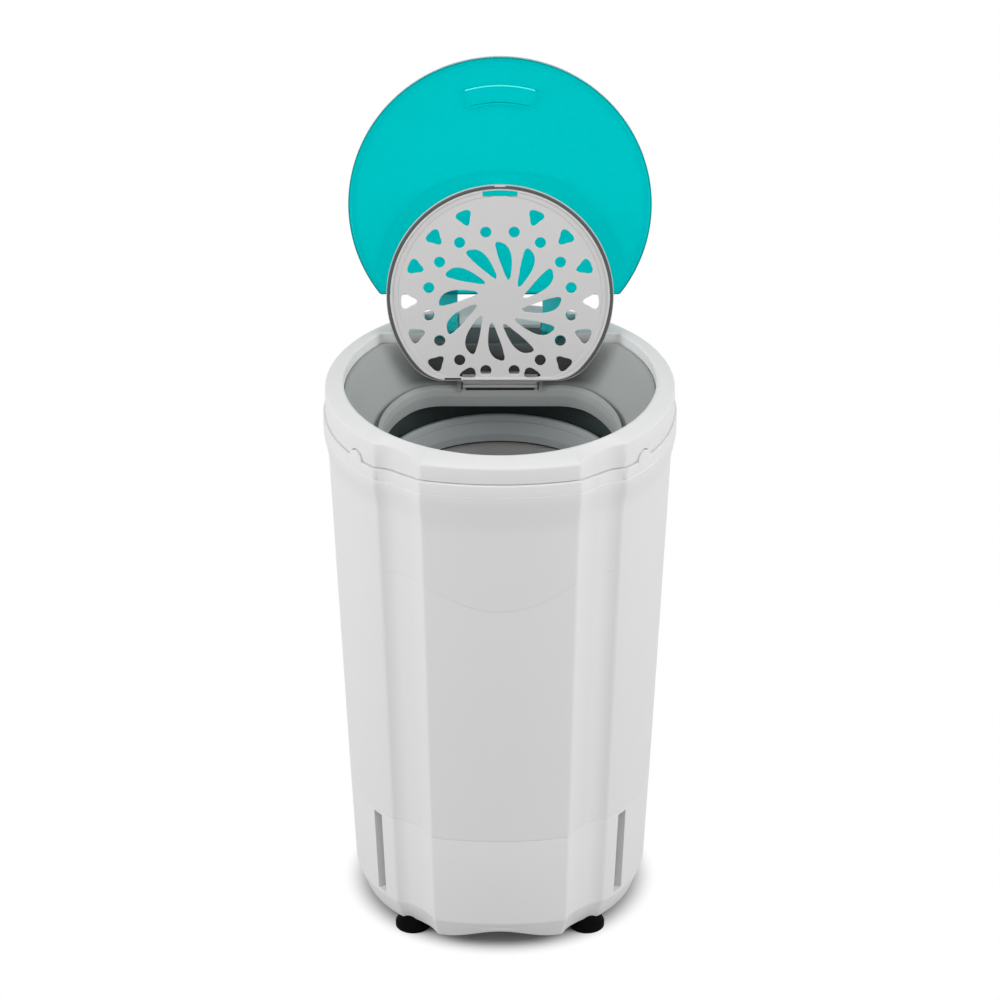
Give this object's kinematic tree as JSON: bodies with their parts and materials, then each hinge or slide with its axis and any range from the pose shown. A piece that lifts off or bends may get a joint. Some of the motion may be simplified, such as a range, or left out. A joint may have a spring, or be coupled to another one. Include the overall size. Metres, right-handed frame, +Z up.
{
  "type": "spin dryer",
  "caption": "Free-standing spin dryer: tapered fluted plastic cabinet, perforated steel basket inside, slotted inner lid and clear teal outer lid, both hinged open at the back.",
  "frame": {"origin": "middle of the footprint, with both lids open, on the floor; the basket's axis stands 10.5 mm in front of it", "axes": "+Z up along the basket's axis, -Y to the front, +X to the right seen from the front"},
  "size_m": [0.367, 0.3899, 0.8796],
  "materials": {
    "white_plastic": "satin",
    "grey_plastic": "satin",
    "teal_clear_plastic": "gloss",
    "lid_grey_plastic": "satin",
    "dark_rubber": "matt",
    "steel": "brushed",
    "cast_alloy": "cast",
    "lamination_steel": "satin",
    "enamelled_copper": "satin",
    "black_plastic": "satin"
  },
  "bodies": {
    "casing": {"base_plate": "grey_plastic", "water_tub": "grey_plastic", "splash_ring": "grey_plastic", "inner_deck": "grey_plastic", "terminal_block": "grey_plastic", "base_skirt": "white_plastic", "cabinet": "white_plastic", "top_ring": "white_plastic", "foot_front_left": "dark_rubber", "foot_front_right": "dark_rubber", "foot_rear_left": "dark_rubber", "foot_rear_right": "dark_rubber", "motor_mount_right": "dark_rubber", "motor_mount_rear_left": "dark_rubber", "motor_mount_front_left": "dark_rubber", "tub_bellows": "dark_rubber", "foot_screw_front_left": "steel", "foot_screw_front_right": "steel", "foot_screw_rear_left": "steel", "foot_screw_rear_right": "steel", "mount_bolt_right": "steel", "mount_bolt_rear_left": "steel", "mount_bolt_front_left": "steel", "motor_bolt_1": "steel", "motor_bolt_2": "steel", "motor_bolt_3": "steel", "motor_bolt_4": "steel", "inner_lid_pin": "steel", "outer_lid_pin_left": "steel", "outer_lid_pin_right": "steel", "brake_lever_pin": "steel", "motor_plate": "steel", "bearing_lower": "steel", "bearing_upper": "steel", "capacitor_clamp": "steel", "motor_lower_shield": "cast_alloy", "motor_upper_shield": "cast_alloy", "motor_stator": "lamination_steel", "motor_winding_lower": "enamelled_copper", "motor_winding_upper": "enamelled_copper", "cord_gland": "black_plastic", "cord_gland_nut": "black_plastic", "drain_elbow": "black_plastic", "shaft_seal": "black_plastic", "lid_switch": "black_plastic", "capacitor": "black_plastic"},
    "outer_lid": {"outer_lid": "teal_clear_plastic"},
    "inner_lid": {"inner_lid": "lid_grey_plastic", "inner_lid_gasket": "dark_rubber"},
    "basket": {"basket_wall": "steel", "basket_base": "grey_plastic", "basket_collar": "lid_grey_plastic", "hub_nut": "steel", "drive_shaft": "steel", "motor_rotor": "lamination_steel", "brake_drum": "cast_alloy"},
    "interlock_rod": {"interlock_rod": "steel"},
    "brake_lever": {"brake_lever": "steel", "brake_pad": "dark_rubber"},
    "switch_plunger": {"switch_plunger": "grey_plastic"}
  },
  "joints": [
    {"name": "outer_lid_hinge", "type": "hinge", "parent": "casing", "child": "outer_lid", "pos_m": [0, 0.1248, 0.5925], "axis": [1, 0, 0], "range_deg": [0, 102]},
    {"name": "inner_lid_hinge", "type": "hinge", "parent": "casing", "child": "inner_lid", "pos_m": [0, 0.085, 0.5525], "axis": [1, 0, 0], "range_deg": [0, 104.01]},
    {"name": "basket_spin", "type": "hinge", "parent": "casing", "child": "basket", "pos_m": [0, -0.0105, 0.3], "axis": [0, 0, 1], "continuous": true},
    {"name": "interlock_rod_slide", "type": "slide", "parent": "casing", "child": "interlock_rod", "axis": [0, 0, 1], "range_m": [0, 0.00301]},
    {"name": "brake_lever_pivot", "type": "hinge", "parent": "casing", "child": "brake_lever", "pos_m": [0.01676, 0.03072, 0.139], "axis": [0.9264, -0.3766, 0], "range_deg": [0, 1.7]},
    {"name": "switch_plunger_slide", "type": "slide", "parent": "casing", "child": "switch_plunger", "axis": [1, 0, 0], "range_m": [0, 0.00121]}
  ],
  "couplings": [
    {"joint": "inner_lid_hinge", "follows": "outer_lid_hinge", "ratio": 1.0196},
    {"joint": "interlock_rod_slide", "follows": "outer_lid_hinge", "m_per_rad": 0.001685},
    {"joint": "brake_lever_pivot", "follows": "outer_lid_hinge", "ratio": 0.016597},
    {"joint": "switch_plunger_slide", "follows": "outer_lid_hinge", "m_per_rad": 0.000674}
  ]
}
